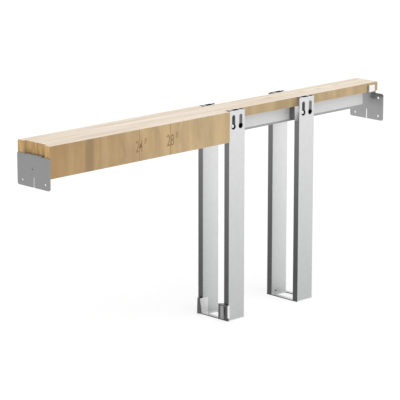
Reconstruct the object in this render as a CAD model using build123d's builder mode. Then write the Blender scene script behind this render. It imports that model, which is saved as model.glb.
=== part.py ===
from build123d import *
import os

# Universal pocket door frame: a split header with its track, carried by two pairs of steel
# uprights between which the door slides away. X runs along the header from the opening's end
# to the pocket's end, Y across the wall with the front at -Y, and Z up from the floor.
# All sizes are in millimetres.

# Wall and timber header
WALL_DEPTH = 89.0
TOP_HEIGHT = 418.0
BOARD_LENGTH = 893.0
BOARD_THICKNESS = 18.5
NAILER_LENGTH = 452.0
NAILER_HEIGHT = 60.0
NAILER_THICKNESS = 15.5
BOARD_SETBACK = 5.5
PACKER_HEIGHT = 3.0
EDGE_EASE = 0.8

# Track under the board
TRACK_WIDTH = 31.0
TRACK_HEIGHT = 31.0
TRACK_WALL = 2.0
TRACK_SLOT = 13.0
TRACK_END_GAP = 2.0
BEAD_HEIGHT = 4.6
BEAD_SLOPE = 1.6
BEAD_STAND = 1.2
TRACK_TURN = 1.5

# Steel uprights
UPRIGHT_WIDTH = 43.5
UPRIGHT_DEPTH = 13.7
UPRIGHT_SHEET = 1.2
UPRIGHT_BEND = 1.6
UPRIGHT_PITCH = 196.7
CUT_DROP = 46.5
HOOK_WALL_WIDTH = 29.0
KEYHOLE_SPACING = 19.4
KEYHOLE_SLOT = 8.4
KEYHOLE_EYE = 11.6
KEYHOLE_TOP_DROP = 8.0
KEYHOLE_EYE_DROP = 30.8
LUG_WIDTH = 4.4
LUG_SPACING = 22.6
FOOT_HOLE = 3.6
FOOT_HOLE_RISE = 8.0
FOOT_HOLE_OFFSET = 9.8

# Brackets between the uprights and the track
BRACKET_SHEET = 1.5
BRACKET_HEIGHT = 27.5

# Floor plates
PLATE_SHEET = 2.0
PLATE_OPENING_X = 27.0
PLATE_OPENING_Y = 46.0
PLATE_OPENING_CORNER = 4.0

# Door guides at the feet of the first pair
GUIDE_SHEET = 1.2
GUIDE_GRIP = 13.0
GUIDE_LAND = 6.5
FRONT_HEIGHT = 31.2
FRONT_RISE = 5.5
FRONT_WRAP = 1.2
FRONT_STAND = 4.0
FRONT_REACH = 11.0
FRONT_NOSE = 2.4
NOSE_WALL = 3.8
WINDOW_WIDTH = 16.6
WINDOW_RIM = 3.0
SPACER_SETBACK = 9.2
BACK_HEIGHT = 32.5
BACK_STAND = 6.0
BACK_REACH_TOP = 7.6
BACK_REACH_FOOT = 3.0

# End brackets
END_SHEET = 2.0
END_LEFT_DROP = 81.9
END_LEFT_HEIGHT = 59.3
END_LEFT_CORNER = 2.5
END_RIGHT_DROP = 80.7
END_RIGHT_HEIGHT = 56.0
END_RIGHT_CORNER = 4.0
END_FOOT_CORNER = 4.5
END_SLOT = 3.4
END_SLOT_DEPTH = 19.5
END_HOLE = 5.0
END_HOLE_SPACING_Y = 62.6
END_HOLE_SPACING_Z = 38.0
END_HOLE_DROP = 72.1
PEEP_HOLE = 2.6
PEEP_HOLE_DROP = 48.2
PEEP_HOLE_OFFSET = 2.5
END_NECK = 46.0
END_TONGUE = 28.0
END_BEND = 3.0
END_RELIEF = 1.5
TAB_WIDTH = 16.8
TAB_HEIGHT = 13.8
TAB_REACH = 27.5

# Levels and places that follow from the sizes above
BOARD_WIDTH = WALL_DEPTH - 2 * NAILER_THICKNESS
NAILER_X = -(BOARD_LENGTH + BOARD_SETBACK) / 2
BOARD_X = NAILER_X + BOARD_SETBACK
BOARD_END_X = BOARD_X + BOARD_LENGTH
BOARD_BOTTOM = TOP_HEIGHT - BOARD_THICKNESS
TRACK_BOTTOM = BOARD_BOTTOM - TRACK_HEIGHT
INNER_Y = BOARD_WIDTH / 2
OUTER_Y = INNER_Y + UPRIGHT_DEPTH
UPRIGHT_1_X = NAILER_X + NAILER_LENGTH + UPRIGHT_WIDTH / 2
UPRIGHT_2_X = UPRIGHT_1_X + UPRIGHT_PITCH
GUIDE_X = UPRIGHT_1_X - UPRIGHT_WIDTH / 2
UPRIGHT_LENGTH = TOP_HEIGHT - PLATE_SHEET
TRACK_START_X = NAILER_X + END_TONGUE + TRACK_END_GAP
TRACK_LENGTH = BOARD_END_X - END_TONGUE - TRACK_END_GAP - TRACK_START_X

os.makedirs("parts", exist_ok=True)


def write_copy(piece, label, x=0.0, turn=0.0):
    """Place a finished piece at x, turned about the vertical, and write it under its label."""
    with BuildPart() as copy:
        with Locations(Location((x, 0, 0), (0, 0, turn))):
            add(piece.part)
    copy.part.label = label
    export_step(copy.part, f"parts/{label}.step")


# Header board: the flat timber that carries the track. Its long edges stand back from the wall
# faces so that nailers, or the uprights' hook plates, fit within the wall.
with BuildPart() as header_board:
    with BuildSketch(Plane.YZ.offset(BOARD_X)):
        with Locations((0, BOARD_BOTTOM)):
            Rectangle(BOARD_WIDTH, BOARD_THICKNESS, align=(Align.CENTER, Align.MIN))
    extrude(amount=BOARD_LENGTH)
    chamfer(header_board.edges().filter_by(Axis.X), EDGE_EASE / 2)
header_board.part.label = "header_board"
export_step(header_board.part, "parts/header_board.step")

# Board packer: a thin strip of the same timber under the board's end at the opening. The
# bracket's tongue is screwed up through it.
with BuildPart() as board_packer:
    with BuildSketch(Plane.XY.offset(BOARD_BOTTOM)):
        with Locations((BOARD_X, 0)):
            Rectangle(END_TONGUE - BOARD_SETBACK, BOARD_WIDTH, align=(Align.MIN, Align.CENTER))
    extrude(amount=-PACKER_HEIGHT)
board_packer.part.label = "board_packer"
export_step(board_packer.part, "parts/board_packer.step")

# Nailers: one plank on each long edge of the board over the opening, as tall as the track is
# deep, so that the trim can be nailed to them. Both run a little past the board's end.
with BuildPart() as nailer_front:
    with BuildSketch(Plane.YZ.offset(NAILER_X)):
        with Locations((-WALL_DEPTH / 2, TOP_HEIGHT)):
            Rectangle(NAILER_THICKNESS, NAILER_HEIGHT, align=(Align.MIN, Align.MAX))
    extrude(amount=NAILER_LENGTH)
    chamfer(nailer_front.edges().filter_by(Axis.X).group_by(Axis.Y)[0], EDGE_EASE)
nailer_front.part.label = "nailer_front"
export_step(nailer_front.part, "parts/nailer_front.step")

with BuildPart() as nailer_back:
    mirror(nailer_front.part, about=Plane.XZ)
nailer_back.part.label = "nailer_back"
export_step(nailer_back.part, "parts/nailer_back.step")

# Track: an extruded box with a slot below for the door's hangers. A bead with a sloped top
# stiffens the foot of each side wall, and the rollers run on the two ledges inside.
with BuildPart() as track:
    with BuildSketch(Plane.YZ.offset(TRACK_START_X)):
        with BuildLine():
            Polyline(
                (0, BOARD_BOTTOM),
                (TRACK_WIDTH / 2, BOARD_BOTTOM),
                (TRACK_WIDTH / 2, TRACK_BOTTOM + BEAD_HEIGHT + BEAD_SLOPE),
                (TRACK_WIDTH / 2 + BEAD_STAND, TRACK_BOTTOM + BEAD_HEIGHT),
                (TRACK_WIDTH / 2 + BEAD_STAND, TRACK_BOTTOM + TRACK_TURN),
                (TRACK_WIDTH / 2 + BEAD_STAND - TRACK_TURN, TRACK_BOTTOM),
                (TRACK_SLOT / 2, TRACK_BOTTOM),
                (TRACK_SLOT / 2, TRACK_BOTTOM + TRACK_WALL),
                (TRACK_WIDTH / 2 - TRACK_WALL, TRACK_BOTTOM + TRACK_WALL),
                (TRACK_WIDTH / 2 - TRACK_WALL, BOARD_BOTTOM - TRACK_WALL),
                (0, BOARD_BOTTOM - TRACK_WALL),
                close=True,
            )
        make_face()
        mirror(about=Plane.YZ)
    extrude(amount=TRACK_LENGTH)
track.part.label = "track"
export_step(track.part, "parts/track.step")

# Uprights: steel channels folded shut on their four sides. At the top the outer wall runs on as
# a plate with two keyholes, one side wall runs on beside it and the other stops below the track.
# The inner wall is cut away at that corner and bears on the board's edge along the rest of its
# width. Two lugs turn in from the plate over the gap.
with BuildPart() as upright:
    with BuildSketch(Plane.XY.offset(PLATE_SHEET)):
        with Locations((0, -OUTER_Y)):
            outline = Rectangle(UPRIGHT_WIDTH, UPRIGHT_DEPTH, align=(Align.CENTER, Align.MIN))
        fillet(outline.vertices(), UPRIGHT_BEND)
        with Locations((0, -OUTER_Y + UPRIGHT_SHEET)):
            Rectangle(
                UPRIGHT_WIDTH - 2 * UPRIGHT_SHEET,
                UPRIGHT_DEPTH - 2 * UPRIGHT_SHEET,
                align=(Align.CENTER, Align.MIN),
                mode=Mode.SUBTRACT,
            )
    extrude(amount=UPRIGHT_LENGTH)
    with BuildSketch(Plane.XY.offset(TOP_HEIGHT)):
        with Locations((-UPRIGHT_WIDTH / 2, -INNER_Y)):
            Rectangle(
                UPRIGHT_WIDTH - HOOK_WALL_WIDTH, UPRIGHT_BEND, align=(Align.MIN, Align.MAX)
            )
    extrude(amount=-BOARD_THICKNESS, mode=Mode.SUBTRACT)
    with BuildSketch(Plane.XY.offset(TOP_HEIGHT)):
        with Locations((-UPRIGHT_WIDTH / 2, -INNER_Y - UPRIGHT_SHEET)):
            Rectangle(
                UPRIGHT_BEND,
                UPRIGHT_DEPTH - UPRIGHT_SHEET - UPRIGHT_BEND,
                align=(Align.MIN, Align.MAX),
            )
    extrude(amount=-CUT_DROP, mode=Mode.SUBTRACT)
    with BuildSketch(Plane.XZ.offset(OUTER_Y)):
        with GridLocations(KEYHOLE_SPACING, 0, 2, 1):
            with Locations((0, TOP_HEIGHT - KEYHOLE_EYE_DROP)):
                Circle(KEYHOLE_EYE / 2)
            with Locations((0, TOP_HEIGHT - KEYHOLE_TOP_DROP - KEYHOLE_SLOT / 2)):
                Circle(KEYHOLE_SLOT / 2)
            with Locations((0, TOP_HEIGHT - KEYHOLE_EYE_DROP)):
                Rectangle(
                    KEYHOLE_SLOT,
                    KEYHOLE_EYE_DROP - KEYHOLE_TOP_DROP - KEYHOLE_SLOT / 2,
                    align=(Align.CENTER, Align.MIN),
                )
    extrude(amount=-UPRIGHT_SHEET, mode=Mode.SUBTRACT)
    with BuildSketch(Plane.XY.offset(TOP_HEIGHT)):
        with GridLocations(LUG_SPACING, 0, 2, 1):
            with Locations((0, -INNER_Y)):
                Rectangle(LUG_WIDTH, UPRIGHT_DEPTH - UPRIGHT_SHEET, align=(Align.CENTER, Align.MAX))
    extrude(amount=-UPRIGHT_SHEET)
    with BuildSketch(Plane.XZ.offset(INNER_Y)):
        with Locations((FOOT_HOLE_OFFSET, FOOT_HOLE_RISE)):
            Circle(FOOT_HOLE / 2)
    extrude(amount=UPRIGHT_SHEET, mode=Mode.SUBTRACT)
write_copy(upright, "upright_1_front", UPRIGHT_1_X)
write_copy(upright, "upright_1_back", UPRIGHT_1_X, turn=180)
write_copy(upright, "upright_2_front", UPRIGHT_2_X)
write_copy(upright, "upright_2_back", UPRIGHT_2_X, turn=180)

# Top brackets: folded steel channels that fill the space between an upright's inner wall and
# the track. Each is screwed up into the board through its top and to the upright through its web.
BRACKET_DEPTH = INNER_Y - TRACK_WIDTH / 2 - BEAD_STAND
with BuildPart() as top_bracket:
    with BuildSketch(Plane.XY.offset(BOARD_BOTTOM)):
        with Locations((0, -INNER_Y)):
            Rectangle(UPRIGHT_WIDTH, BRACKET_DEPTH, align=(Align.CENTER, Align.MIN))
    extrude(amount=-BRACKET_HEIGHT)
    with BuildSketch(Plane.XY.offset(BOARD_BOTTOM - BRACKET_SHEET)):
        with Locations((0, -INNER_Y + BRACKET_SHEET)):
            Rectangle(
                UPRIGHT_WIDTH - 2 * BRACKET_SHEET,
                BRACKET_DEPTH - BRACKET_SHEET,
                align=(Align.CENTER, Align.MIN),
            )
    extrude(amount=-BRACKET_HEIGHT, mode=Mode.SUBTRACT)
write_copy(top_bracket, "top_bracket_1_front", UPRIGHT_1_X)
write_copy(top_bracket, "top_bracket_1_back", UPRIGHT_1_X, turn=180)
write_copy(top_bracket, "top_bracket_2_front", UPRIGHT_2_X)
write_copy(top_bracket, "top_bracket_2_back", UPRIGHT_2_X, turn=180)

# Floor plates: one under each pair of uprights keeps them at the wall's depth. The middle is cut
# out to leave a rim round the feet.
with BuildPart() as floor_plate:
    with BuildSketch():
        Rectangle(UPRIGHT_WIDTH, 2 * OUTER_Y)
    extrude(amount=PLATE_SHEET)
    with BuildSketch():
        cutout = Rectangle(PLATE_OPENING_X, PLATE_OPENING_Y)
        fillet(cutout.vertices(), PLATE_OPENING_CORNER)
    extrude(amount=PLATE_SHEET, mode=Mode.SUBTRACT)
write_copy(floor_plate, "floor_plate_1", UPRIGHT_1_X)
write_copy(floor_plate, "floor_plate_2", UPRIGHT_2_X)

# Door guides: strips folded round the feet of the first pair, where the door enters. The front
# one wraps the upright's outer corner, stands off its side on a spacer and runs out to a nose
# that the door slides past. Its wall is a frame round a tall window, clear of the floor plate.
# The back one widens upwards like a funnel.
NOSE_Y = -INNER_Y + FRONT_REACH
NOSE_WALL_Y = NOSE_Y - NOSE_WALL
with BuildPart() as door_guide_front:
    with BuildSketch(Plane.XY.offset(PLATE_SHEET)):
        with BuildLine():
            Polyline(
                (GUIDE_X - FRONT_STAND, NOSE_WALL_Y),
                (GUIDE_X - FRONT_STAND, NOSE_Y),
                (GUIDE_X - FRONT_STAND + FRONT_NOSE, NOSE_Y),
                (GUIDE_X + GUIDE_LAND, -INNER_Y + GUIDE_SHEET),
                (GUIDE_X + GUIDE_GRIP, -INNER_Y + GUIDE_SHEET),
            )
            offset(amount=GUIDE_SHEET, side=Side.RIGHT, kind=Kind.INTERSECTION)
        make_face()
    extrude(amount=FRONT_HEIGHT)
    with BuildSketch(Plane.XY.offset(PLATE_SHEET + FRONT_RISE)):
        with BuildLine():
            Polyline(
                (GUIDE_X + FRONT_WRAP, -OUTER_Y - GUIDE_SHEET),
                (GUIDE_X - FRONT_STAND, -OUTER_Y - GUIDE_SHEET),
                (GUIDE_X - FRONT_STAND, NOSE_WALL_Y),
            )
            offset(amount=GUIDE_SHEET, side=Side.RIGHT, kind=Kind.INTERSECTION)
        make_face()
    extrude(amount=FRONT_HEIGHT - FRONT_RISE)
    with BuildSketch(Plane.YZ.offset(GUIDE_X - FRONT_STAND)):
        with Locations((NOSE_WALL_Y, PLATE_SHEET)):
            Rectangle(WINDOW_WIDTH, FRONT_HEIGHT - WINDOW_RIM, align=(Align.MAX, Align.MIN))
    extrude(amount=GUIDE_SHEET, mode=Mode.SUBTRACT)
    with BuildSketch(Plane.XY.offset(PLATE_SHEET + FRONT_RISE)):
        with Locations((GUIDE_X, -OUTER_Y + SPACER_SETBACK)):
            Rectangle(FRONT_STAND, GUIDE_SHEET, align=(Align.MAX, Align.MIN))
    extrude(amount=FRONT_HEIGHT - FRONT_RISE)
door_guide_front.part.label = "door_guide_front"
export_step(door_guide_front.part, "parts/door_guide_front.step")

with BuildPart() as door_guide_back:
    for level, reach in ((0, BACK_REACH_FOOT), (BACK_HEIGHT, BACK_REACH_TOP)):
        with BuildSketch(Plane.XY.offset(PLATE_SHEET + level)):
            with BuildLine():
                Polyline(
                    (GUIDE_X + GUIDE_GRIP, INNER_Y),
                    (GUIDE_X - reach, INNER_Y),
                    (GUIDE_X - BACK_STAND, OUTER_Y - GUIDE_LAND),
                    (GUIDE_X, OUTER_Y - GUIDE_LAND),
                    (GUIDE_X, OUTER_Y - UPRIGHT_BEND),
                )
                offset(amount=GUIDE_SHEET, side=Side.LEFT, kind=Kind.INTERSECTION)
            make_face()
    loft(ruled=True)
door_guide_back.part.label = "door_guide_back"
export_step(door_guide_back.part, "parts/door_guide_back.step")


def end_plate(low, height, corner, seat):
    """Make an end bracket's nailing plate, with a neck folded into a tongue at the seat's level."""
    with BuildPart() as plate:
        with BuildSketch(Plane.YZ):
            with Locations((0, low)):
                outline = Rectangle(WALL_DEPTH, height, align=(Align.CENTER, Align.MIN))
            fillet(outline.vertices().group_by(Axis.Y)[0], END_FOOT_CORNER)
            with Locations((0, low)):
                Rectangle(
                    END_SLOT, END_SLOT_DEPTH, align=(Align.CENTER, Align.MIN), mode=Mode.SUBTRACT
                )
            with Locations((0, TOP_HEIGHT - END_HOLE_DROP)):
                with GridLocations(END_HOLE_SPACING_Y, 0, 2, 1):
                    Circle(END_HOLE / 2, mode=Mode.SUBTRACT)
        extrude(amount=END_SHEET)
        fillet(plate.edges().filter_by(Axis.X).group_by(Axis.Z)[-1], corner)
        with BuildSketch(Plane.YZ):
            with Locations((0, seat - END_BEND)):
                Rectangle(
                    END_NECK + 2 * END_RELIEF, 2 * END_BEND, align=(Align.CENTER, Align.MIN)
                )
        extrude(amount=END_SHEET, mode=Mode.SUBTRACT)
        with BuildSketch(Plane.XZ):
            with BuildLine():
                FilletPolyline(
                    (-END_TONGUE, seat),
                    (END_SHEET, seat),
                    (END_SHEET, low + height - 2 * END_BEND),
                    radius=END_BEND,
                )
                offset(amount=END_SHEET, side=Side.RIGHT)
            make_face()
        extrude(amount=END_NECK / 2, both=True)
    return plate


# End brackets: steel plates across the wall that are nailed to the studs. The slot from below
# hangs on a nail set at the wall's centre line. A neck joins each plate to a tongue under the
# board. The pocket end's tongue has a tab turned up on each edge of the board, and its plate,
# which no nailer backs, has two more nail holes.
left_plate = end_plate(
    TOP_HEIGHT - END_LEFT_DROP, END_LEFT_HEIGHT, END_LEFT_CORNER, BOARD_BOTTOM - PACKER_HEIGHT
)
with BuildPart() as end_bracket_left:
    with Locations(Location((NAILER_X, 0, 0), (0, 0, 180))):
        add(left_plate.part)
    with BuildSketch(Plane.YZ.offset(NAILER_X)):
        with Locations((PEEP_HOLE_OFFSET, TOP_HEIGHT - PEEP_HOLE_DROP)):
            Circle(PEEP_HOLE / 2)
    extrude(amount=-END_SHEET, mode=Mode.SUBTRACT)
end_bracket_left.part.label = "end_bracket_left"
export_step(end_bracket_left.part, "parts/end_bracket_left.step")

right_plate = end_plate(
    TOP_HEIGHT - END_RIGHT_DROP, END_RIGHT_HEIGHT, END_RIGHT_CORNER, BOARD_BOTTOM
)
with BuildPart() as end_bracket_right:
    with Locations((BOARD_END_X, 0, 0)):
        add(right_plate.part)
    with BuildSketch(Plane.YZ.offset(BOARD_END_X)):
        with Locations((0, TOP_HEIGHT - END_HOLE_DROP + END_HOLE_SPACING_Z)):
            with GridLocations(END_HOLE_SPACING_Y, 0, 2, 1):
                Circle(END_HOLE / 2)
    extrude(amount=END_SHEET, mode=Mode.SUBTRACT)
    with BuildSketch(Plane.YZ.offset(BOARD_END_X - TAB_REACH)):
        with Locations((0, BOARD_BOTTOM - END_SHEET)):
            strap = Rectangle(
                BOARD_WIDTH + 2 * END_SHEET, TAB_HEIGHT + END_SHEET, align=(Align.CENTER, Align.MIN)
            )
        fillet(strap.vertices().group_by(Axis.Y)[0], END_SHEET)
        with Locations((0, BOARD_BOTTOM)):
            Rectangle(
                BOARD_WIDTH, TAB_HEIGHT, align=(Align.CENTER, Align.MIN), mode=Mode.SUBTRACT
            )
    extrude(amount=TAB_WIDTH)
end_bracket_right.part.label = "end_bracket_right"
export_step(end_bracket_right.part, "parts/end_bracket_right.step")
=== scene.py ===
from math import cos, pi, radians, sin

import bmesh
import bpy
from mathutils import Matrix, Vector


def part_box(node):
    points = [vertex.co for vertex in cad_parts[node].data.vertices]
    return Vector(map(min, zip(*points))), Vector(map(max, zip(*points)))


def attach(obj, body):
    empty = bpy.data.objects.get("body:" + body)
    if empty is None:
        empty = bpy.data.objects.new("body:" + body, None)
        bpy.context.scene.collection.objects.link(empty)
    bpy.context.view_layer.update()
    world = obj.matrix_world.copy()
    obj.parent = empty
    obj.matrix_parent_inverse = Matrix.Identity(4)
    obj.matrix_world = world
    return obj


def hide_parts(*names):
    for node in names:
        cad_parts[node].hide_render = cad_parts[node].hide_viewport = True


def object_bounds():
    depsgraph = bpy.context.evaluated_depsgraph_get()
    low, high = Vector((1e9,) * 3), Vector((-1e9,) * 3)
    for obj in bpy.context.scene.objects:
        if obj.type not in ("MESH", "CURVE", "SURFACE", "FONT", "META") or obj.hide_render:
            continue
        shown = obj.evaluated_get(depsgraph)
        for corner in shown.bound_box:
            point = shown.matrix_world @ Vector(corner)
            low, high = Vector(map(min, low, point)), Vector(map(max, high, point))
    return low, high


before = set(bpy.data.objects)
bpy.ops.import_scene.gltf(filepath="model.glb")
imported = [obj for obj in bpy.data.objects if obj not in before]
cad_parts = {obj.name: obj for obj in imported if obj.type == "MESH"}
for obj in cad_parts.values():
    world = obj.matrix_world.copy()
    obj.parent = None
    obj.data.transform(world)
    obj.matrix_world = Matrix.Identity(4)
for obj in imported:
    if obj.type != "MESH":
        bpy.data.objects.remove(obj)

cad_low, cad_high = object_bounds()

# Camera: it stands in front of the opening's end, a little above the header, and looks across
# the frame at about 45 degrees. Its lens and place were worked out from the header's edges.
PICTURE = 400
FOCAL_PIXELS = 2177.9
SENSOR = 36.0
CAMERA_PLACE = (-2.9014, -2.9162, 1.2218)
CAMERA_YAW = 45.48
CAMERA_PITCH = 13.45
CAMERA_REACH = 200

eye = bpy.data.cameras.new("camera")
eye.sensor_width = SENSOR
eye.lens = SENSOR * FOCAL_PIXELS / PICTURE
eye.clip_end = CAMERA_REACH
camera = bpy.data.objects.new("camera", eye)
bpy.context.collection.objects.link(camera)
camera.location = CAMERA_PLACE
camera.rotation_euler = (radians(90 - CAMERA_PITCH), 0, radians(CAMERA_YAW - 90))
bpy.context.scene.camera = camera
bpy.context.scene.view_settings.view_transform = "Standard"


# Studio: a white floor, a white room and two broad, soft lamps, one high over the front and a
# weaker one from the front's right, so that the front faces are lighter than the ends.
FLOOR_SPAN = 60.0
FLOOR_DROP = 0.0002
FLOOR_TONE = 0.96
FLOOR_GLOW = 0.23
FLOOR_ROUGHNESS = 0.9
SEEN_TONE = 0.29
SEEN_GLOW = 0.485
ROOM_LIGHT = 0.62
HIGH_LAMP = 1.25
HIGH_LAMP_SPREAD = 60
HIGH_LAMP_HEADING = (35, 0, -20)
FRONT_LAMP = 0.35
FRONT_LAMP_SPREAD = 50
FRONT_LAMP_HEADING = (62, 0, 25)


def add_node(tree, kind, links=None, **settings):
    """Add a shader node with its settings, and feed its inputs from sockets or plain values."""
    made = tree.nodes.new(kind)
    for name, value in settings.items():
        setattr(made, name, value)
    for socket, source in (links or {}).items():
        if isinstance(source, bpy.types.NodeSocket):
            tree.links.new(source, made.inputs[socket])
        else:
            made.inputs[socket].default_value = source
    return made


def new_material(name):
    """Start a material: its node tree and its main shader."""
    material = bpy.data.materials.new(name)
    material.use_nodes = True
    tree = material.node_tree
    return material, tree, tree.nodes["Principled BSDF"]


def plainly_seen(tree):
    """Give 1 to rays that show a thing as it is, straight, mirrored or through glass."""
    path = add_node(tree, "ShaderNodeLightPath")
    seen = path.outputs["Is Camera Ray"]
    for ray in ("Is Glossy Ray", "Is Transmission Ray"):
        either = add_node(tree, "ShaderNodeMath", {0: seen, 1: path.outputs[ray]}, operation="MAXIMUM")
        seen = either.outputs[0]
    return seen


def to_object(name, shape):
    """Turn finished mesh code into an object in the scene."""
    mesh = bpy.data.meshes.new(name)
    shape.to_mesh(mesh)
    shape.free()
    made = bpy.data.objects.new(name, mesh)
    bpy.context.collection.objects.link(made)
    return made


room = bpy.data.worlds.new("white_room")
bpy.context.scene.world = room
room.use_nodes = True
tree = room.node_tree
level = add_node(
    tree, "ShaderNodeMapRange", {"Value": plainly_seen(tree), "To Min": ROOM_LIGHT, "To Max": 1.0}
)
tree.nodes["Background"].inputs["Color"].default_value = (1, 1, 1, 1)
tree.links.new(level.outputs[0], tree.nodes["Background"].inputs["Strength"])

for name, energy, spread, heading in (
    ("high_lamp", HIGH_LAMP, HIGH_LAMP_SPREAD, HIGH_LAMP_HEADING),
    ("front_lamp", FRONT_LAMP, FRONT_LAMP_SPREAD, FRONT_LAMP_HEADING),
):
    lamp = bpy.data.lights.new(name, "SUN")
    lamp.energy = energy
    lamp.angle = radians(spread)
    holder = bpy.data.objects.new(name, lamp)
    bpy.context.collection.objects.link(holder)
    holder.rotation_euler = [radians(a) for a in heading]

shape = bmesh.new()
reach = FLOOR_SPAN / 2
shape.faces.new([
    shape.verts.new((x, y, -FLOOR_DROP))
    for x, y in ((-reach, -reach), (reach, -reach), (reach, reach), (-reach, reach))
])
floor = to_object("floor", shape)
# Painted board: matt white. The camera sees it darker in itself but glowing more, so that it is
# just white and keeps only a faint shadow, while the frame is lit and mirrored by the plain board.
material, tree, shader = new_material("matt_white_board")
shader.inputs["Roughness"].default_value = FLOOR_ROUGHNESS
shader.inputs["Emission Color"].default_value = (1, 1, 1, 1)
straight = add_node(tree, "ShaderNodeLightPath").outputs["Is Camera Ray"]
glow = add_node(tree, "ShaderNodeMath", {0: plainly_seen(tree), 1: FLOOR_GLOW}, operation="MULTIPLY")
glow = add_node(
    tree, "ShaderNodeMath", {0: straight, 1: SEEN_GLOW, 2: glow.outputs[0]}, operation="MULTIPLY_ADD"
)
tone = add_node(
    tree, "ShaderNodeMapRange", {"Value": straight, "To Min": FLOOR_TONE, "To Max": SEEN_TONE}
)
tree.links.new(tone.outputs[0], shader.inputs["Base Color"])
tree.links.new(glow.outputs[0], shader.inputs["Emission Strength"])
floor.data.materials.append(material)

# Header board, packer and nailers: planed boards of pale softwood, nailed into one beam. The
# broad faces show upright bands of figure, the top its long grain, and the sawn ends are darker.
SQUARE_ON = (0.6, 0.8)
FIGURE_BAND = 0.024
FIGURE_LINE = 0.0065
FIGURE_LINE_SHARE = 0.25
FIGURE_STRETCH = 0.16
FIGURE_SPREAD = (0.36, 0.64)
FIGURE_SHARES = (0.865, 1.13)
SWAY_LENGTH = 1 / 14
SWAY_REACH = 0.016
FIBRE = 0.0012
FIBRE_RELIEF = 0.0001
FIBRE_STRENGTH = 0.15
# Painted shade and light: the nailers' tone runs from a shaded one to a lit one along their length.
NAILER_SHADED_TONE = "a1835b"
NAILER_LIT_TONE = "bea57e"
PAINTED_LIGHT_FROM = -0.42
PAINTED_LIGHT_TO = -0.06
NAILER_STARTS = (0.034, 0.038)
BOARD_TONE = "b8a07a"
STREAK_LEVEL = 0.387
STREAK_EDGE = 0.35
STREAK_TONE = "8d7757"
STREAK_SIZE = (0.0105, 0.02, 0.055)
STREAKS = ((-0.3565, 0.80), (-0.1150, 0.24), (-0.0420, 0.15))
LIGHT_STREAK_TONE = "cbb085"
LIGHT_STREAK_SIZE = (0.0080, 0.02, 0.060)
LIGHT_STREAKS = ((-0.3993, 0.18), (-0.3205, 0.22), (-0.2600, 0.20), (-0.1650, 0.45), (-0.0180, 0.35))
BROAD_STREAK_PLACE = (0.161, -0.029, 0.4085)
BROAD_STREAK_SIZE = (0.018, 0.01, 0.03)
BROAD_STREAK_SHARE = 0.35
BOARD_TIP_PLACE = (0.430, -0.0285, 0.408)
BOARD_TIP_SIZE = (0.024, 0.01, 0.03)
BOARD_TIP_SHARE = 0.3
# Painted shadow on the board's front, beside the end bracket's tab.
TAB_PAINTED_SHADOW = "7a694d"
TAB_PAINTED_SHADOW_PLACE = (0.4192, -0.0285, 0.4070)
TAB_PAINTED_SHADOW_SIZE = (0.0027, 0.002, 0.0085)
LONG_GRAIN = 0.0075
GRAIN_STRETCH = 0.035
GRAIN_SPREAD = (0.34, 0.62)
TOP_TONES = ("dccab3", "f2e6d7")
FLECK_TONE = "c7ad93"
FLECK_SHARE = 0.45
FLECK_PLACES = (0.160, 0.254, 0.304, 0.357)
FLECK_Y = 0.003
FLECK_SIZE = (0.010, 0.004, 0.01)
FLECK_EDGE = 0.6
END_TONES = ("b5905b", "d2ad77")
END_SPREAD = (0.38, 0.62)
SEAM_BLUR = 0.0002
# Painted shade on the board's recessed end, and a lighter share on the nailers' ends.
BOARD_END_PAINTED_SHADE = 0.94
NAILER_END_SHARE = 1.07
TIMBER_ROUGHNESS = 0.62
TIMBER_SHINE = 0.3
EASED_EDGE = 0.0008
INK_FILM = 0.00004


def linear(code, alpha=1.0):
    """Turn an sRGB hex colour into linear values."""
    parts = [int(code[i:i + 2], 16) / 255 for i in (0, 2, 4)]
    return tuple(p / 12.92 if p <= 0.04045 else ((p + 0.055) / 1.055) ** 2.4 for p in parts) + (alpha,)


def looks_along(tree, normal, lowest, highest):
    """Give 1 on faces that look along an axis, either way, and 0 on the others."""
    squarely = add_node(tree, "ShaderNodeMath", {0: normal}, operation="ABSOLUTE")
    return add_node(
        tree, "ShaderNodeMapRange",
        {"Value": squarely.outputs[0], "From Min": lowest, "From Max": highest},
    ).outputs[0]


def patch(tree, spot, centre, size, edge=STREAK_EDGE):
    """Give 1 inside an oval spot of this size and 0 outside, with a soft edge."""
    out = add_node(tree, "ShaderNodeVectorMath", {0: spot, 1: centre}, operation="SUBTRACT")
    out = add_node(tree, "ShaderNodeVectorMath", {0: out.outputs[0], 1: size}, operation="DIVIDE")
    out = add_node(tree, "ShaderNodeVectorMath", {0: out.outputs[0]}, operation="LENGTH")
    return add_node(
        tree, "ShaderNodeMapRange",
        {"Value": out.outputs["Value"], "From Min": 1 + edge, "From Max": 1 - edge},
    ).outputs[0]


# Planed softwood: matt, with bands of figure, long grain above, and fine fibres felt as bump.
timber, tree, shader = new_material("planed_softwood")
spot = add_node(tree, "ShaderNodeTexCoord").outputs["Object"]
place = add_node(tree, "ShaderNodeSeparateXYZ", {0: spot})
facing = add_node(tree, "ShaderNodeNewGeometry")
turned = add_node(tree, "ShaderNodeSeparateXYZ", {0: facing.outputs["Normal"]})
upward = looks_along(tree, turned.outputs["Z"], *SQUARE_ON)
endward = looks_along(tree, turned.outputs["X"], *SQUARE_ON)

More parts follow.
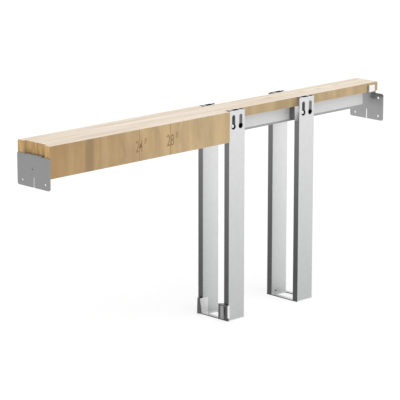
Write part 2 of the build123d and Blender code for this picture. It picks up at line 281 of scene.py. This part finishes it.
# The figure stands upright on the broad faces and sways a little along the timber.
standing = add_node(tree, "ShaderNodeMapping", {"Vector": spot, "Scale": (1, 1, FIGURE_STRETCH)})
sway = add_node(tree, "ShaderNodeTexNoise", {"Vector": spot, "Scale": 1 / SWAY_LENGTH, "Detail": 1.0})
sway = add_node(
    tree, "ShaderNodeMapRange", {"Value": sway.outputs["Fac"], "To Min": -SWAY_REACH, "To Max": SWAY_REACH}
)
shift = add_node(tree, "ShaderNodeCombineXYZ", {0: sway.outputs[0], 1: sway.outputs[0]})
standing = add_node(
    tree, "ShaderNodeVectorMath", {0: standing.outputs[0], 1: shift.outputs[0]}, operation="ADD"
)
bands = add_node(
    tree, "ShaderNodeTexNoise",
    {"Vector": standing.outputs[0], "Scale": 1 / FIGURE_BAND, "Detail": 2.0, "Roughness": 0.5},
)
lines = add_node(
    tree, "ShaderNodeTexNoise", {"Vector": standing.outputs[0], "Scale": 1 / FIGURE_LINE, "Detail": 2.0}
)
figure = add_node(
    tree, "ShaderNodeMix",
    {"Factor": FIGURE_LINE_SHARE, "A": bands.outputs["Fac"], "B": lines.outputs["Fac"]},
    data_type="FLOAT",
)
figure = add_node(
    tree, "ShaderNodeMapRange",
    {"Value": figure.outputs[0], "From Min": FIGURE_SPREAD[0], "From Max": FIGURE_SPREAD[1],
     "To Min": FIGURE_SHARES[0], "To Max": FIGURE_SHARES[1]},
)
# Painted shade: the nailers are painted darker towards the opening's end and lighter towards the pocket.
painted_light_ramp = add_node(
    tree, "ShaderNodeMapRange",
    {"Value": place.outputs["X"], "From Min": PAINTED_LIGHT_FROM, "From Max": PAINTED_LIGHT_TO},
)
nailer = add_node(
    tree, "ShaderNodeMix", {"Factor": painted_light_ramp.outputs[0], 6: linear(NAILER_SHADED_TONE), 7: linear(NAILER_LIT_TONE)},
    data_type="RGBA",
)
off_centre = add_node(tree, "ShaderNodeMath", {0: place.outputs["Y"]}, operation="ABSOLUTE")
outer = add_node(
    tree, "ShaderNodeMapRange",
    {"Value": off_centre.outputs[0], "From Min": NAILER_STARTS[0], "From Max": NAILER_STARTS[1]},
)
face = add_node(
    tree, "ShaderNodeMix", {"Factor": outer.outputs[0], 6: linear(BOARD_TONE), 7: nailer.outputs[2]},
    data_type="RGBA",
)
face = add_node(
    tree, "ShaderNodeMix", {"Factor": 1.0, 6: face.outputs[2], 7: figure.outputs[0]},
    data_type="RGBA", blend_type="MULTIPLY",
).outputs[2]

# Streaks cross the front faces, the board darkens at its far end, and a painted shadow lies by the tab.
streaks_and_painted_shadow = [
    (BROAD_STREAK_PLACE, BROAD_STREAK_SIZE, BROAD_STREAK_SHARE, STREAK_TONE),
    (BOARD_TIP_PLACE, BOARD_TIP_SIZE, BOARD_TIP_SHARE, STREAK_TONE),
    (TAB_PAINTED_SHADOW_PLACE, TAB_PAINTED_SHADOW_SIZE, 1.0, TAB_PAINTED_SHADOW),
]
for streaks, size, colour in (
    (STREAKS, STREAK_SIZE, STREAK_TONE), (LIGHT_STREAKS, LIGHT_STREAK_SIZE, LIGHT_STREAK_TONE)
):
    streaks_and_painted_shadow += [((x, cad_low[1], STREAK_LEVEL), size, share, colour) for x, share in streaks]
for centre, size, share, colour in streaks_and_painted_shadow:
    patch_share = patch(tree, spot, centre, size)
    patch_share = add_node(tree, "ShaderNodeMath", {0: patch_share, 1: share}, operation="MULTIPLY")
    face = add_node(
        tree, "ShaderNodeMix", {"Factor": patch_share.outputs[0], 6: face, 7: linear(colour)}, data_type="RGBA"
    ).outputs[2]

# The top shows long grain with a few flecks, and the sawn ends their own darker figure.
lying = add_node(tree, "ShaderNodeMapping", {"Vector": spot, "Scale": (GRAIN_STRETCH, 1, 1)})
grain = add_node(
    tree, "ShaderNodeTexNoise",
    {"Vector": lying.outputs[0], "Scale": 1 / LONG_GRAIN, "Detail": 4.0, "Roughness": 0.6},
)
top = add_node(tree, "ShaderNodeValToRGB", {"Fac": grain.outputs["Fac"]})
end = add_node(tree, "ShaderNodeValToRGB", {"Fac": lines.outputs["Fac"]})
for ramp, spread, tones in ((top, GRAIN_SPREAD, TOP_TONES), (end, END_SPREAD, END_TONES)):
    for k in (0, 1):
        ramp.color_ramp.elements[k].position = spread[k]
        ramp.color_ramp.elements[k].color = linear(tones[k])
top = top.outputs["Color"]
for x in FLECK_PLACES:
    fleck = patch(tree, spot, (x, FLECK_Y, cad_high[2]), FLECK_SIZE, FLECK_EDGE)
    fleck = add_node(tree, "ShaderNodeMath", {0: fleck, 1: FLECK_SHARE}, operation="MULTIPLY")
    top = add_node(
        tree, "ShaderNodeMix", {"Factor": fleck.outputs[0], 6: top, 7: linear(FLECK_TONE)},
        data_type="RGBA",
    ).outputs[2]
board_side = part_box("header_board")[1][1]
# Painted shade: the board's recessed end is darker, and the nailers' ends a little lighter.
end_share = add_node(
    tree, "ShaderNodeMapRange",
    {"Value": off_centre.outputs[0],
     "From Min": board_side - SEAM_BLUR, "From Max": board_side + SEAM_BLUR,
     "To Min": BOARD_END_PAINTED_SHADE, "To Max": NAILER_END_SHARE},
)
end = add_node(
    tree, "ShaderNodeMix", {"Factor": 1.0, 6: end.outputs["Color"], 7: end_share.outputs[0]},
    data_type="RGBA", blend_type="MULTIPLY",
)
sides = add_node(
    tree, "ShaderNodeMix", {"Factor": endward, 6: face, 7: end.outputs[2]}, data_type="RGBA"
)
whole = add_node(
    tree, "ShaderNodeMix", {"Factor": upward, 6: sides.outputs[2], 7: top}, data_type="RGBA"
)
fibre = add_node(
    tree, "ShaderNodeTexNoise", {"Vector": standing.outputs[0], "Scale": 1 / FIBRE, "Detail": 1.0}
)
relief = add_node(
    tree, "ShaderNodeBump",
    {"Strength": FIBRE_STRENGTH, "Distance": FIBRE_RELIEF, "Height": fibre.outputs["Fac"]},
)
tree.links.new(whole.outputs[2], shader.inputs["Base Color"])
tree.links.new(relief.outputs[0], shader.inputs["Normal"])
shader.inputs["Roughness"].default_value = TIMBER_ROUGHNESS
shader.inputs["Specular IOR Level"].default_value = TIMBER_SHINE


def finish(material, *names):
    """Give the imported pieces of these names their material."""
    for name in names:
        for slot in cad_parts[name].material_slots:
            slot.material = material


finish(timber, "header_board", "board_packer", "nailer_back")

# The front nailer is drawn with its long edges eased round, and thinner by the film of ink on it.
nailer_low, nailer_high = (Vector(corner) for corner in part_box("nailer_front"))
nailer_low.y += INK_FILM
shape = bmesh.new()
bmesh.ops.create_cube(shape, size=1.0)
for corner in shape.verts:
    corner.co = [nailer_high[i] if corner.co[i] > 0 else nailer_low[i] for i in range(3)]
eased = [e for e in shape.edges if all(v.co.y < nailer_low.y + EASED_EDGE for v in e.verts)]
eased = [e for e in eased if abs(e.verts[0].co.x - e.verts[1].co.x) > EASED_EDGE]
bmesh.ops.bevel(shape, geom=eased, offset=EASED_EDGE, segments=3, profile=0.5, affect="EDGES")
marked_nailer = to_object("marked_nailer", shape)
marked_nailer.data.materials.append(timber)
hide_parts("nailer_front")
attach(marked_nailer, "root")

# Cutting marks on the front nailer: a line across it for each of two door widths, with the width
# in inches beside it. They are printed in thin brown ink.
INK = "7a6242"
FAINT_INK = "a48b63"
INK_ROUGHNESS = 0.8
LINE_WIDTH = 0.0012
WORN_LINE_WIDTH = 0.0020
DIGIT_HEIGHT = 0.0215
CAP_SHARE = 0.70
DIGIT_WIDTH_24 = 0.59
DIGIT_WIDTH_28 = 0.64
DIGIT_THICKER = 0.0002
DIGIT_START = 0.0100
DIGIT_LEVEL = 0.3757
INCH_OFFSET = 0.0377
INCH_STROKE = ((0.0000, 0.3885), (0.0013, 0.3995), (0.0031, 0.3995), (0.0013, 0.3885))
INCH_PITCH = 0.0028
LINE_24_X = -0.23315
LINE_28_X = -0.15445

for name, code in (("printing_ink", INK), ("worn_printing_ink", FAINT_INK)):
    # Printing ink: a thin matt brown film that lets the wood's unevenness through.
    material, tree, shader = new_material(name)
    spot = add_node(tree, "ShaderNodeTexCoord").outputs["Object"]
    worn = add_node(tree, "ShaderNodeTexNoise", {"Vector": spot, "Scale": 1 / FIBRE})
    tone = add_node(tree, "ShaderNodeValToRGB", {"Fac": worn.outputs["Fac"]})
    tone.color_ramp.elements[0].color = linear(code)
    tone.color_ramp.elements[1].color = linear(NAILER_SHADED_TONE)
    tree.links.new(tone.outputs["Color"], shader.inputs["Base Color"])
    shader.inputs["Roughness"].default_value = INK_ROUGHNESS


def printed(name, outlines, ink):
    """Lay flat printed shapes on the nailer's face, each given by its corners in X and Z."""
    shape = bmesh.new()
    for outline in outlines:
        shape.faces.new([shape.verts.new((x, nailer_low.y - INK_FILM / 2, z)) for x, z in outline])
    piece = to_object(name, shape)
    piece.data.materials.append(bpy.data.materials[ink])
    return piece


def mark(name, x, width, digits, narrow, ink):
    """Draw one line across the nailer at x, with its digits and inch mark to be read beside it."""
    sides = (x - width / 2, x + width / 2)
    ends = (nailer_low.z + EASED_EDGE, nailer_high.z - EASED_EDGE)
    corners = [(sides[i], ends[k]) for i, k in ((0, 0), (1, 0), (1, 1), (0, 1))]
    line = printed(name + "_line", [corners], ink)
    digits_x = x - DIGIT_START
    inch_x = digits_x + INCH_OFFSET * narrow
    strokes = [[(inch_x + k * INCH_PITCH + dx, z) for dx, z in INCH_STROKE] for k in (0, 1)]
    inch = printed(name + "_inch", strokes, "printing_ink")
    words = bpy.data.curves.new(name + "_digits", "FONT")
    words.body = digits
    words.size = DIGIT_HEIGHT / CAP_SHARE
    words.offset = DIGIT_THICKER
    written = bpy.data.objects.new(name + "_digits", words)
    bpy.context.collection.objects.link(written)
    written.location = (digits_x, nailer_low.y - INK_FILM / 2, DIGIT_LEVEL)
    written.rotation_euler = (radians(90), 0, 0)
    written.scale = (narrow, 1, 1)
    words.materials.append(bpy.data.materials["printing_ink"])
    for piece in (line, inch, written):
        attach(piece, "root")


mark("mark_24", LINE_24_X, LINE_WIDTH, "24", DIGIT_WIDTH_24, "printing_ink")
mark("mark_28", LINE_28_X, WORN_LINE_WIDTH, "28", DIGIT_WIDTH_28, "worn_printing_ink")

# Track: an extruded aluminium channel, left as it came from the die and fixed under the board. It
# is pale and satin, with fine draw lines along its length, and its lower lip is painted in shade.
DRAW_LINE = 0.0015
DRAW_STRETCH = 0.01
DRAW_SPREAD = (0.3, 0.7)
TRACK_TONES = ("c9caca", "d4d5d5")
TRACK_ROUGHNESS = (0.54, 0.64)
TRACK_METALLIC = 0.3
# Painted shade on the track's lower lip.
LIP_PAINTED_SHADE = "9b9c9d"
LIP_LEVEL = 0.3731
LIP_BLUR = 0.0001

# Mill-finish aluminium: light grey and softly reflecting, for its dull oxide skin.
aluminium, tree, shader = new_material("mill_finish_aluminium")
spot = add_node(tree, "ShaderNodeTexCoord").outputs["Object"]
place = add_node(tree, "ShaderNodeSeparateXYZ", {0: spot})
drawn = add_node(tree, "ShaderNodeMapping", {"Vector": spot, "Scale": (DRAW_STRETCH, 1, 1)})
draws = add_node(
    tree, "ShaderNodeTexNoise", {"Vector": drawn.outputs[0], "Scale": 1 / DRAW_LINE, "Detail": 2.0}
)
shade = add_node(
    tree, "ShaderNodeMapRange",
    {"Value": draws.outputs["Fac"], "From Min": DRAW_SPREAD[0], "From Max": DRAW_SPREAD[1],
     "To Min": TRACK_ROUGHNESS[0], "To Max": TRACK_ROUGHNESS[1]},
)
tone = add_node(tree, "ShaderNodeValToRGB", {"Fac": draws.outputs["Fac"]})
for k in (0, 1):
    tone.color_ramp.elements[k].color = linear(TRACK_TONES[k])
# Painted shade: the lower lip is darker below its level.
lip = add_node(
    tree, "ShaderNodeMapRange",
    {"Value": place.outputs["Z"], "From Min": LIP_LEVEL + LIP_BLUR, "From Max": LIP_LEVEL - LIP_BLUR},
)
tone = add_node(
    tree, "ShaderNodeMix", {"Factor": lip.outputs[0], 6: tone.outputs["Color"], 7: linear(LIP_PAINTED_SHADE)},
    data_type="RGBA",
)
tree.links.new(tone.outputs[2], shader.inputs["Base Color"])
tree.links.new(shade.outputs[0], shader.inputs["Roughness"])
shader.inputs["Metallic"].default_value = TRACK_METALLIC
finish(aluminium, "track")

# Uprights and their top brackets: channels folded from galvanised sheet, with the brackets folded
# to fit between them and the track. The broad walls are painted lit and the narrow folded walls
# painted in shade, and both are painted darker towards the floor as shade.
SPANGLE = 0.006
SPANGLE_DARKEST = 0.97
SHEET_ROUGHNESS = 0.42
SHEET_BEND = (0.55, 0.8)
# Painted shade: faces darken towards the floor up to this height, the narrow sides later.
FOOT_SHADE_RISE = 0.37
SIDE_SHADE_DELAY = 1.65
# Painted light and shade: the broad faces' tones and the narrow sides' darker tones, foot and head.
STEEL_LIT_FACE = ("b3b4b4", "d1d1d2")
STEEL_SHADED_SIDE = ("545454", "767677")
# Painted light on the walls that face the door's pocket.
INNER_WALL_PAINTED_LIGHT = 1.14
UPRIGHT_PLACES = (0.0245, 0.2212)
HOLLOW_HALF_WIDTH = 0.0207
HOLLOW_OPEN_SIDE = 0.0060
HOLLOW_INNER = 0.0301
HOLLOW_OUTER = 0.0412
HOLLOW_TOP = 0.4112
# Painted shade and light inside the channels, and on the matt walls seen through the open side.
HOLLOW_PAINTED_SHADE = "101010"
HOLLOW_WALL_PAINTED_LIGHT = "5e5e5e"
HOLLOW_SIDE_PAINTED_LIGHT = "c8c8c8"
HOLLOW_CORNER_PAINTED_HIGHLIGHT = "f0f0f0"
HIGHLIGHT_START = 0.0130
HIGHLIGHT_EDGE = 0.003
PAINTED_LIT_FROM = 0.3890
PAINTED_LIT_TO = 0.4110
PAINTED_LIT_EDGE = 0.001
MOUTH_TOP = 0.4178
PLATE_BACK = 0.0415
MATT_ZINC_PAINTED_LIGHT = "f0f0f0"
SLACK = 0.0001


def folded_steel(name, face, side, roughness, bend):
    """Start a satin steel painted lit on broad faces, shaded on narrow sides, darker at the floor."""
    material, tree, shader = new_material(name)
    spot = add_node(tree, "ShaderNodeTexCoord").outputs["Object"]
    place = add_node(tree, "ShaderNodeSeparateXYZ", {0: spot})
    facing = add_node(tree, "ShaderNodeNewGeometry")
    turned = add_node(tree, "ShaderNodeSeparateXYZ", {0: facing.outputs["True Normal"]})
    # Painted shade: faces looking along X take the darker tones, and all are darker towards the floor.
    sideward = looks_along(tree, turned.outputs["X"], *bend)
    rise = add_node(tree, "ShaderNodeMapRange", {"Value": place.outputs["Z"], "From Max": FOOT_SHADE_RISE})
    side_shade_fade = add_node(tree, "ShaderNodeMath", {0: rise.outputs[0], 1: SIDE_SHADE_DELAY}, operation="POWER")
    tones = [
        add_node(
            tree, "ShaderNodeMix", {"Factor": share.outputs[0], 6: linear(foot), 7: linear(head)},
            data_type="RGBA",
        ).outputs[2]
        for (foot, head), share in ((face, rise), (side, side_shade_fade))
    ]
    tone = add_node(
        tree, "ShaderNodeMix", {"Factor": sideward, 6: tones[0], 7: tones[1]}, data_type="RGBA"
    )
    tree.links.new(tone.outputs[2], shader.inputs["Base Color"])
    shader.inputs["Metallic"].default_value = 1.0
    shader.inputs["Roughness"].default_value = roughness
    return material, tree, shader, spot, place, tone.outputs[2], sideward


def between(tree, value, lowest, highest, edge=SLACK):
    """Give 1 where a value lies between two limits and 0 elsewhere."""
    over = add_node(
        tree, "ShaderNodeMapRange", {"Value": value, "From Min": lowest - edge, "From Max": lowest}
    )
    under = add_node(
        tree, "ShaderNodeMapRange", {"Value": value, "From Min": highest + edge, "From Max": highest}
    )
    return add_node(
        tree, "ShaderNodeMath", {0: over.outputs[0], 1: under.outputs[0]}, operation="MULTIPLY"
    ).outputs[0]


# Galvanised sheet: satin zinc with a faint spangle.
galvanised, tree, shader, spot, place, tone, sideward = folded_steel(
    "galvanised_sheet", STEEL_LIT_FACE, STEEL_SHADED_SIDE, SHEET_ROUGHNESS, SHEET_BEND
)
spangle = add_node(tree, "ShaderNodeTexVoronoi", {"Vector": spot, "Scale": 1 / SPANGLE})
grey = add_node(tree, "ShaderNodeSeparateColor", {0: spangle.outputs["Color"]})
fleck = add_node(
    tree, "ShaderNodeMapRange", {"Value": grey.outputs[0], "To Min": SPANGLE_DARKEST, "To Max": 1.0}
)
tone = add_node(
    tree, "ShaderNodeMix", {"Factor": 1.0, 6: tone, 7: fleck.outputs[0]},
    data_type="RGBA", blend_type="MULTIPLY",
).outputs[2]

# The walls that face the door's pocket are painted a little lighter, as light. Depth is counted
# from the pocket's middle towards either face of the frame.
depth = add_node(tree, "ShaderNodeMath", {0: place.outputs["Y"]}, operation="ABSOLUTE").outputs[0]
inner = between(tree, depth, 0.0, HOLLOW_INNER - 2 * SLACK)
inner_painted_light = add_node(tree, "ShaderNodeMapRange", {"Value": inner, "To Min": 1.0, "To Max": INNER_WALL_PAINTED_LIGHT})
inner_painted_light = add_node(
    tree, "ShaderNodeMix", {"Factor": sideward, "A": inner_painted_light.outputs[0], "B": 1.0}, data_type="FLOAT"
)
tone = add_node(
    tree, "ShaderNodeMix", {"Factor": 1.0, 6: tone, 7: inner_painted_light.outputs[0]},
    data_type="RGBA", blend_type="MULTIPLY",
).outputs[2]

# Distances across an upright are counted from its middle towards its shut side, which is the other
# way on the back ones.
hand = add_node(tree, "ShaderNodeMath", {0: place.outputs["Y"]}, operation="SIGN")
distances = []
for x in UPRIGHT_PLACES:
    across = add_node(tree, "ShaderNodeMath", {0: x, 1: place.outputs["X"]}, operation="SUBTRACT")
    across = add_node(
        tree, "ShaderNodeMath", {0: across.outputs[0], 1: hand.outputs[0]}, operation="MULTIPLY"
    )
    distances.append(across.outputs[0])


def across_uprights(tree, nearest, farthest, edge=SLACK):
    """Give 1 on the uprights between two distances across them and 0 elsewhere."""
    strips = [between(tree, across, nearest, farthest, edge) for across in distances]
    return add_node(tree, "ShaderNodeMath", dict(enumerate(strips)), operation="ADD").outputs[0]


# Painted shade inside the channels: they are dark, but for a stretch painted lit by the light
# through the keyholes, with a painted highlight towards the shut side, and the mouth between the
# lugs is painted darkest. The front ones' inner wall and the back of their plate are seen through
# the open side, where they are matt and painted light.
hollow = between(tree, depth, HOLLOW_INNER, HOLLOW_OUTER)
below = between(tree, place.outputs["Z"], 0.0, HOLLOW_TOP)
inside = across_uprights(tree, -HOLLOW_OPEN_SIDE, HOLLOW_HALF_WIDTH)
mouth = between(tree, depth, HOLLOW_INNER, PLATE_BACK + SLACK)
brow = between(tree, place.outputs["Z"], HOLLOW_TOP + 2 * SLACK, MOUTH_TOP)
full = across_uprights(tree, -HOLLOW_HALF_WIDTH, HOLLOW_HALF_WIDTH)
bare = between(tree, depth, HOLLOW_INNER - SLACK, HOLLOW_INNER + 3 * SLACK)
back = between(tree, depth, PLATE_BACK - SLACK, PLATE_BACK + SLACK)
matt = add_node(tree, "ShaderNodeMath", {0: bare, 1: back}, operation="ADD").outputs[0]
front = add_node(tree, "ShaderNodeMath", {0: place.outputs["Y"], 1: 0.0}, operation="LESS_THAN")
zones = []
for zone, *limits in ((hollow, below, inside), (mouth, brow, full), (matt, front.outputs[0], full)):
    for limit in limits:
        zone = add_node(tree, "ShaderNodeMath", {0: zone, 1: limit}, operation="MULTIPLY").outputs[0]
    zones.append(zone)
hollow, mouth, matt = zones
# Painted highlight towards the shut side, and painted light in the stretch lit through the keyholes.
corner = across_uprights(tree, HIGHLIGHT_START, HOLLOW_HALF_WIDTH, HIGHLIGHT_EDGE)
lit = between(tree, place.outputs["Z"], PAINTED_LIT_FROM, PAINTED_LIT_TO, PAINTED_LIT_EDGE)
walls = linear(HOLLOW_WALL_PAINTED_LIGHT)
for share, colour in ((corner, HOLLOW_CORNER_PAINTED_HIGHLIGHT), (sideward, HOLLOW_SIDE_PAINTED_LIGHT)):
    walls = add_node(
        tree, "ShaderNodeMix", {"Factor": share, 6: walls, 7: linear(colour)}, data_type="RGBA"
    ).outputs[2]
walls = add_node(tree, "ShaderNodeMix", {"Factor": lit, 6: linear(HOLLOW_PAINTED_SHADE), 7: walls}, data_type="RGBA")
for share, colour in (
    (matt, linear(MATT_ZINC_PAINTED_LIGHT)), (hollow, walls.outputs[2]), (mouth, linear(HOLLOW_PAINTED_SHADE))
):
    tone = add_node(tree, "ShaderNodeMix", {"Factor": share, 6: tone, 7: colour}, data_type="RGBA").outputs[2]
dull = add_node(tree, "ShaderNodeMath", {0: matt, 1: hollow}, operation="MAXIMUM")
metal = add_node(tree, "ShaderNodeMath", {0: 1.0, 1: dull.outputs[0]}, operation="SUBTRACT")
tree.links.new(tone, shader.inputs["Base Color"])
tree.links.new(metal.outputs[0], shader.inputs["Metallic"])
finish(
    galvanised,
    "upright_1_front", "upright_1_back", "upright_2_front", "upright_2_back",
    "top_bracket_1_front", "top_bracket_1_back", "top_bracket_2_front", "top_bracket_2_back",
)

# Door guides and floor plates: short strips cut and folded from bright zinc-coated sheet. A plate
# is nailed to the floor under each pair, and the guides wrap round the first pair's feet to keep
# the door in the middle of its pocket.
STRIP_FACE = "dedede"
# Painted shade on the strip's slanted and narrow walls.
STRIP_SHADED_SIDE = "5f5f5f"
STRIP_ROUGHNESS = 0.40
STRIP_SHEEN_STEP = 0.05
STRIP_BEND = (0.64, 0.84)

# Bright zinc-coated strip: smoother and lighter than the uprights' sheet, with its slanted and narrow
# walls painted mid grey as shade, and a faint cloud in its sheen.
strip, tree, shader, spot = folded_steel(
    "bright_zinc_strip", (STRIP_FACE, STRIP_FACE), (STRIP_SHADED_SIDE, STRIP_SHADED_SIDE), STRIP_ROUGHNESS, STRIP_BEND
)[:4]
cloud = add_node(tree, "ShaderNodeTexNoise", {"Vector": spot, "Scale": 1 / SPANGLE})
sheen = add_node(
    tree, "ShaderNodeMapRange",
    {"Value": cloud.outputs["Fac"],
     "To Min": STRIP_ROUGHNESS - STRIP_SHEEN_STEP, "To Max": STRIP_ROUGHNESS + STRIP_SHEEN_STEP},
)
tree.links.new(sheen.outputs[0], shader.inputs["Roughness"])
finish(strip, "door_guide_front", "door_guide_back", "floor_plate_1", "floor_plate_2")

# End brackets: pressed from thicker plate and zinc plated, so they are an even, duller grey than
# the uprights. The pocket end's plate is painted a little lighter as light, its tabs above are painted
# bright as light, and a painted shade lies along the bend below them.
PLATED = "979797"
PLATE_ROUGHNESS = 0.5
PLATE_CLOUD = 1 / 90
CLOUD_SHARES = (0.97, 1.03)
# Painted shade on the opening end's plate and painted light on the pocket end's plate.
LEFT_PLATE_PAINTED_SHADE = 0.90
RIGHT_PLATE_PAINTED_LIGHT = 1.2
BETWEEN_PLATES = 0.1
# Painted light on the tabs, and painted shade along the bend and in a spot below it.
TAB_PAINTED_LIGHT = "e4e4e4"
TAB_LEVELS = (0.3996, 0.420)
BEND_PAINTED_SHADE = "7e7e7e"
BEND_LEVELS = (0.3885, 0.3928)
BEND_EDGE = 0.003
BEND_FRONT = (-0.060, -0.014)
BEND_FRONT_EDGE = 0.006
INNER_FACE = (0.448, 0.4500)
BEND_SHADE_SPOT_PLACE = (0.449, -0.0185, 0.3845)
BEND_SHADE_SPOT_SIZE = (0.0012, 0.0095, 0.0042)

# Zinc-plated steel: mid grey, all but without pattern.
plated, tree, shader, spot, place, tone = folded_steel(
    "zinc_plated_steel", (PLATED, PLATED), (PLATED, PLATED), PLATE_ROUGHNESS, SHEET_BEND
)[:6]
cloud = add_node(tree, "ShaderNodeTexNoise", {"Vector": spot, "Scale": 1 / PLATE_CLOUD, "Detail": 2.0})
cloud = add_node(
    tree, "ShaderNodeMapRange",
    {"Value": cloud.outputs["Fac"], "To Min": CLOUD_SHARES[0], "To Max": CLOUD_SHARES[1]},
)
# Painted light: the pocket end's plate is lighter and the other end's plate darker.
lighter = add_node(
    tree, "ShaderNodeMapRange",
    {"Value": place.outputs["X"], "From Min": -BETWEEN_PLATES, "From Max": BETWEEN_PLATES,
     "To Min": LEFT_PLATE_PAINTED_SHADE, "To Max": RIGHT_PLATE_PAINTED_LIGHT},
)
cloud = add_node(tree, "ShaderNodeMath", {0: cloud.outputs[0], 1: lighter.outputs[0]}, operation="MULTIPLY")
tone = add_node(
    tree, "ShaderNodeMix", {"Factor": 1.0, 6: tone, 7: cloud.outputs[0]},
    data_type="RGBA", blend_type="MULTIPLY",
).outputs[2]
# Painted shade under the board and tab: a band along the bend on the inner face, and a spot below.
bend = between(tree, place.outputs["Z"], *BEND_LEVELS, BEND_EDGE)
inward = between(tree, place.outputs["X"], *INNER_FACE)
forward = between(tree, place.outputs["Y"], *BEND_FRONT, BEND_FRONT_EDGE)
for limit in (inward, forward):
    bend = add_node(tree, "ShaderNodeMath", {0: bend, 1: limit}, operation="MULTIPLY").outputs[0]
bend_shade_spot = patch(tree, spot, BEND_SHADE_SPOT_PLACE, BEND_SHADE_SPOT_SIZE)
bend = add_node(tree, "ShaderNodeMath", {0: bend, 1: bend_shade_spot}, operation="MAXIMUM")
# Painted light: the tabs are painted bright.
tab = between(tree, place.outputs["Z"], *TAB_LEVELS)
for share, colour in ((bend.outputs[0], BEND_PAINTED_SHADE), (tab, TAB_PAINTED_LIGHT)):
    tone = add_node(
        tree, "ShaderNodeMix", {"Factor": share, 6: tone, 7: linear(colour)}, data_type="RGBA"
    ).outputs[2]
tree.links.new(tone, shader.inputs["Base Color"])
finish(plated, "end_bracket_left", "end_bracket_right")

# Screws: zinc-plated pan heads with a cross recess. One stands out of each upright's inner wall
# behind a keyhole's eye, to hang it by, and two go up through each end bracket's tongue.
HEAD_RADIUS = 0.0033
HEAD_HEIGHT = 0.0022
HEAD_RINGS = ((0.2, 1.0), (0.5, 1.0), (0.62, 1.0), (0.9, 0.8), (1.0, 0.4), (1.0, 0.0))
HEAD_SIDES = 32
RECESS_ARMS = 4
RECESS_REACH = 0.6
RECESS_DEPTH = 0.0010
SHANK_RADIUS = 0.0018
HANGING_LEVEL = 0.3877
HANGING_OFFSET = 0.0097
HANGING_STAND = 0.0090
HANGING_TURNS = ((90, 20, 0), (-90, 35, 0))
TONGUE_SHEET = 0.002
TONGUE_SCREW_X = 0.0145
TONGUE_SCREW_Y = 0.012
TONGUE_SCREW_TURN = 30
SEAT_GAP = 0.0001
SCREW_MOTTLE = 1 / 600
SCREW_TONES = ("e4e5e6", "f2f2f3")
SCREW_ROUGHNESS = 0.35

# Zinc-plated screw: bright and satin, faintly mottled.
zinc, tree, shader = new_material("bright_zinc_screw")
spot = add_node(tree, "ShaderNodeTexCoord").outputs["Object"]
mottle = add_node(tree, "ShaderNodeTexNoise", {"Vector": spot, "Scale": 1 / SCREW_MOTTLE})
tone = add_node(tree, "ShaderNodeValToRGB", {"Fac": mottle.outputs["Fac"]})
for k in (0, 1):
    tone.color_ramp.elements[k].color = linear(SCREW_TONES[k])
tree.links.new(tone.outputs["Color"], shader.inputs["Base Color"])
shader.inputs["Metallic"].default_value = 1.0
shader.inputs["Roughness"].default_value = SCREW_ROUGHNESS


def screw(name, place, turn, stand):
    """Lathe a pan head on its shank, with a cross recess, so that it stands out along its own +Z."""
    shape = bmesh.new()
    headings = [2 * pi * k / HEAD_SIDES for k in range(HEAD_SIDES)]
    pitch = HEAD_SIDES // RECESS_ARMS
    loops = []
    for share, rise in HEAD_RINGS:
        loop = []
        for k, heading in enumerate(headings):
            pressed = share < RECESS_REACH and min(k % pitch, pitch - k % pitch) <= 1
            radius = HEAD_RADIUS * share
            level = stand + HEAD_HEIGHT * rise - (RECESS_DEPTH if pressed else 0)
            loop.append(shape.verts.new((radius * cos(heading), radius * sin(heading), level)))
        loops.append(loop)
    for level in (stand, 0.0):
        loops.append([
            shape.verts.new((SHANK_RADIUS * cos(heading), SHANK_RADIUS * sin(heading), level))
            for heading in headings
        ])
    centre = shape.verts.new((0, 0, stand + HEAD_HEIGHT - RECESS_DEPTH))
    for k in range(HEAD_SIDES):
        after = (k + 1) % HEAD_SIDES
        shape.faces.new((centre, loops[0][k], loops[0][after]))
        for inner, outer in zip(loops, loops[1:]):
            shape.faces.new((inner[k], outer[k], outer[after], inner[after]))
    shape.faces.new(loops[-1][::-1])
    piece = to_object(name, shape)
    piece.location = place
    piece.rotation_euler = [radians(a) for a in turn]
    piece.data.materials.append(zinc)
    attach(piece, "root")


wall = HOLLOW_INNER + SEAT_GAP
for number, x in enumerate(UPRIGHT_PLACES, 1):
    for hand, side, turn in zip(("front", "back"), (-1, 1), HANGING_TURNS):
        place = (x + side * HANGING_OFFSET, side * wall, HANGING_LEVEL)
        screw(f"hanging_screw_{number}_{hand}", place, turn, HANGING_STAND)
packer_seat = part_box("board_packer")[0][2]
board_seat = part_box("header_board")[0][2]
for end, sign, seat in (("left", -1, packer_seat), ("right", 1, board_seat)):
    x = sign * (cad_high[0] - TONGUE_SHEET - TONGUE_SCREW_X)
    for hand, side in (("front", -1), ("back", 1)):
        place = (x, side * TONGUE_SCREW_Y, seat - TONGUE_SHEET)
        screw(f"tongue_screw_{end}_{hand}", place, (180, 0, side * TONGUE_SCREW_TURN), SEAT_GAP)
